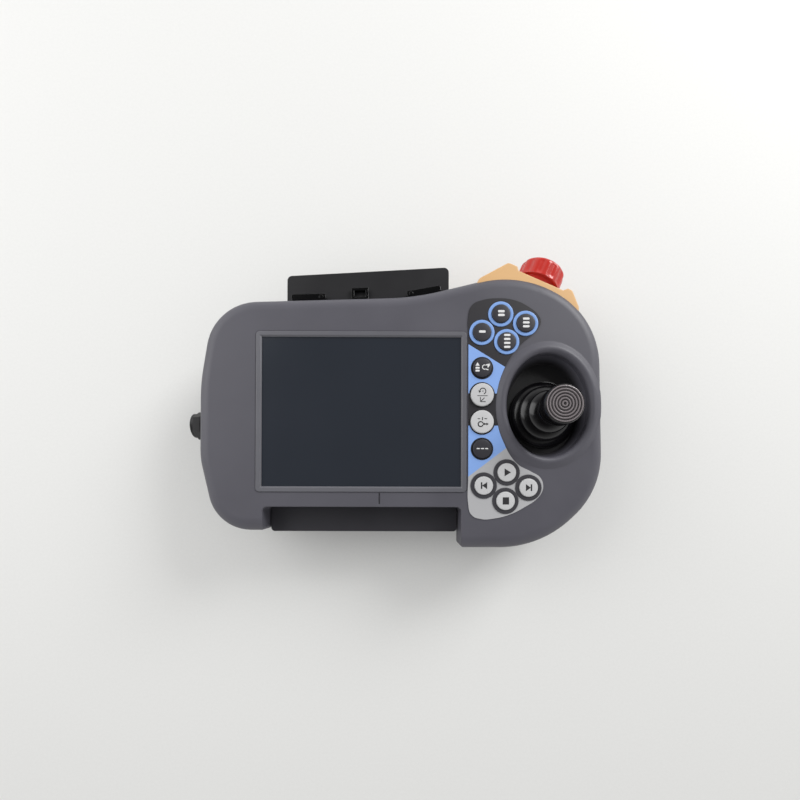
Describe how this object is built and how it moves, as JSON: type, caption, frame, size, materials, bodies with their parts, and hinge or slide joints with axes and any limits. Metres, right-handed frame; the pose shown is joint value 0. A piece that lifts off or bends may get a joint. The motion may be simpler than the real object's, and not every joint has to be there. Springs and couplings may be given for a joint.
{
  "type": "robot teach pendant",
  "caption": "Hand-held robot teach pendant: touch screen, round keys, booted joystick, red stop button on a yellow block, and a hand strap across the back.",
  "frame": {"origin": "middle of the footprint, on the table that the pendant lies on, screen up", "axes": "+X to the joystick side, +Y to the edge with the stop button, +Z out of the screen"},
  "size_m": [0.334, 0.236, 0.102],
  "materials": {
    "housing": "soft-touch satin, fine grain",
    "bezel": "satin",
    "screen_glass": "glossy, dark when off",
    "display_can": "satin",
    "board": "solder-masked",
    "overlay": "printed film, fine grain",
    "dark_key": "satin",
    "light_key": "satin",
    "switch_body": "matte",
    "joystick_rubber": "glossy rubber",
    "bowl_plastic": "satin",
    "steel": "machined",
    "stop_red": "semi-gloss",
    "stop_yellow": "semi-gloss",
    "black_plastic": "satin",
    "gloss_black": "glossy",
    "rubber_black": "matte rubber",
    "strap_fabric": "woven band",
    "lever_grey": "satin",
    "silver_can": "tinned"
  },
  "bodies": {
    "housing": {"front_housing": "housing", "rear_housing": "housing", "housing_gasket": "rubber_black", "screen_bezel": "bezel", "touch_glass": "screen_glass", "display_module": "display_can", "main_board": "board", "keypad_overlay": "overlay", "keypad_board": "board", "keypad_switches": "switch_body", "joystick_bowl": "bowl_plastic", "joystick_sensor": "black_plastic", "joystick_boot_lower": "joystick_rubber", "stop_housing": "stop_yellow", "stop_contacts": "black_plastic", "gland_body": "black_plastic", "gland_nut": "black_plastic", "gland_seal": "rubber_black", "strap_anchor_upper": "black_plastic", "strap_anchor_lower": "black_plastic", "strap_clip_left": "gloss_black", "strap_clip_right": "gloss_black", "strap_tab": "strap_fabric", "hand_strap": "strap_fabric", "enable_tray": "black_plastic", "enable_pin": "steel", "enable_switch": "black_plastic", "reset_switch": "switch_body", "usb_socket": "silver_can", "housing_screw_1": "steel", "housing_screw_2": "steel", "housing_screw_3": "steel", "housing_screw_4": "steel", "housing_screw_5": "steel", "housing_screw_6": "steel"},
    "gimbal_ring": {"joystick_gimbal": "steel"},
    "stick": {"joystick_stick": "steel", "joystick_boot_upper": "joystick_rubber"},
    "knob": {"joystick_knob": "joystick_rubber"},
    "stop_slider": {"stop_plunger": "steel"},
    "stop_button": {"stop_head": "stop_red"},
    "lever": {"enable_lever": "lever_grey"},
    "enable_slider": {"enable_plunger": "black_plastic"},
    "usb_flap": {"usb_cover": "rubber_black"},
    "stylus_pen": {"stylus": "black_plastic"},
    "reset_pin": {"reset_button": "black_plastic"},
    "one_bar_key": {"key_one_bar": "dark_key"},
    "two_bars_key": {"key_two_bars": "dark_key"},
    "three_bars_key": {"key_three_bars": "dark_key"},
    "four_bars_key": {"key_four_bars": "dark_key"},
    "unit_key": {"key_unit": "dark_key"},
    "turn_mode_key": {"key_turn_mode": "light_key"},
    "axis_mode_key": {"key_axis_mode": "light_key"},
    "step_size_key": {"key_step_size": "dark_key"},
    "start_key": {"key_start": "light_key"},
    "step_back_key": {"key_step_back": "light_key"},
    "step_forward_key": {"key_step_forward": "light_key"},
    "stop_key": {"key_stop": "light_key"}
  },
  "joints": [
    {"name": "key_one_bar_press", "type": "slide", "parent": "housing", "child": "one_bar_key", "axis": [0, 0, -1], "range_m": [0, 0.0008], "stiffness_N_per_m": 250},
    {"name": "key_two_bars_press", "type": "slide", "parent": "housing", "child": "two_bars_key", "axis": [0, 0, -1], "range_m": [0, 0.0008], "stiffness_N_per_m": 250},
    {"name": "key_three_bars_press", "type": "slide", "parent": "housing", "child": "three_bars_key", "axis": [0, 0, -1], "range_m": [0, 0.0008], "stiffness_N_per_m": 250},
    {"name": "key_four_bars_press", "type": "slide", "parent": "housing", "child": "four_bars_key", "axis": [0, 0, -1], "range_m": [0, 0.0008], "stiffness_N_per_m": 250},
    {"name": "key_unit_press", "type": "slide", "parent": "housing", "child": "unit_key", "axis": [0, 0, -1], "range_m": [0, 0.0008], "stiffness_N_per_m": 250},
    {"name": "key_turn_mode_press", "type": "slide", "parent": "housing", "child": "turn_mode_key", "axis": [0, 0, -1], "range_m": [0, 0.0008], "stiffness_N_per_m": 250},
    {"name": "key_axis_mode_press", "type": "slide", "parent": "housing", "child": "axis_mode_key", "axis": [0, 0, -1], "range_m": [0, 0.0008], "stiffness_N_per_m": 250},
    {"name": "key_step_size_press", "type": "slide", "parent": "housing", "child": "step_size_key", "axis": [0, 0, -1], "range_m": [0, 0.0008], "stiffness_N_per_m": 250},
    {"name": "key_start_press", "type": "slide", "parent": "housing", "child": "start_key", "axis": [0, 0, -1], "range_m": [0, 0.0008], "stiffness_N_per_m": 250},
    {"name": "key_step_back_press", "type": "slide", "parent": "housing", "child": "step_back_key", "axis": [0, 0, -1], "range_m": [0, 0.0008], "stiffness_N_per_m": 250},
    {"name": "key_step_forward_press", "type": "slide", "parent": "housing", "child": "step_forward_key", "axis": [0, 0, -1], "range_m": [0, 0.0008], "stiffness_N_per_m": 250},
    {"name": "key_stop_press", "type": "slide", "parent": "housing", "child": "stop_key", "axis": [0, 0, -1], "range_m": [0, 0.0008], "stiffness_N_per_m": 250},
    {"name": "tilt_up_down", "type": "hinge", "parent": "housing", "child": "gimbal_ring", "pos_m": [0.12206, -0.01057, 0.052], "axis": [1, 0, 0], "range_deg": [-18, 18], "stiffness_Nm_per_rad": 0.25, "deforming": ["joystick_boot_lower"]},
    {"name": "tilt_left_right", "type": "hinge", "parent": "gimbal_ring", "child": "stick", "pos_m": [0.12206, -0.01057, 0.052], "axis": [0, 1, 0], "range_deg": [-18, 18], "stiffness_Nm_per_rad": 0.25, "deforming": ["joystick_boot_upper"]},
    {"name": "knob_twist", "type": "hinge", "parent": "stick", "child": "knob", "pos_m": [0.12206, -0.01057, 0.052], "axis": [0, 0, 1], "range_deg": [-18, 18], "stiffness_Nm_per_rad": 0.05},
    {"name": "stop_press", "type": "slide", "parent": "housing", "child": "stop_slider", "axis": [-0.3971, -0.9178, 0], "range_m": [0, 0.003]},
    {"name": "stop_twist", "type": "hinge", "parent": "stop_slider", "child": "stop_button", "pos_m": [0.11866, 0.09743, 0.05], "axis": [-0.3971, -0.9178, 0], "range_deg": [0, 45], "stiffness_Nm_per_rad": 0.03},
    {"name": "lever_squeeze", "type": "hinge", "parent": "housing", "child": "lever", "pos_m": [-0.13974, -0.01277, 0.0288], "axis": [0, -1, 0], "range_deg": [0, 8], "stiffness_Nm_per_rad": 0.15},
    {"name": "enable_push", "type": "slide", "parent": "housing", "child": "enable_slider", "axis": [1, 0, 0], "range_m": [0, 0.00165]},
    {"name": "usb_cover_swing", "type": "hinge", "parent": "housing", "child": "usb_flap", "pos_m": [0.13682, -0.09377, 0.05135], "axis": [-0.766, -0.6428, 0], "range_deg": [0, 85]},
    {"name": "stylus_pull", "type": "slide", "parent": "housing", "child": "stylus_pen", "axis": [0, -1, 0], "range_m": [0, 0.1]},
    {"name": "reset_press", "type": "slide", "parent": "housing", "child": "reset_pin", "axis": [0, 0, 1], "range_m": [0, 0.001], "stiffness_N_per_m": 150}
  ],
  "couplings": [
    {"joint": "enable_push", "follows": "lever_squeeze", "m_per_rad": 0.0118}
  ]
}
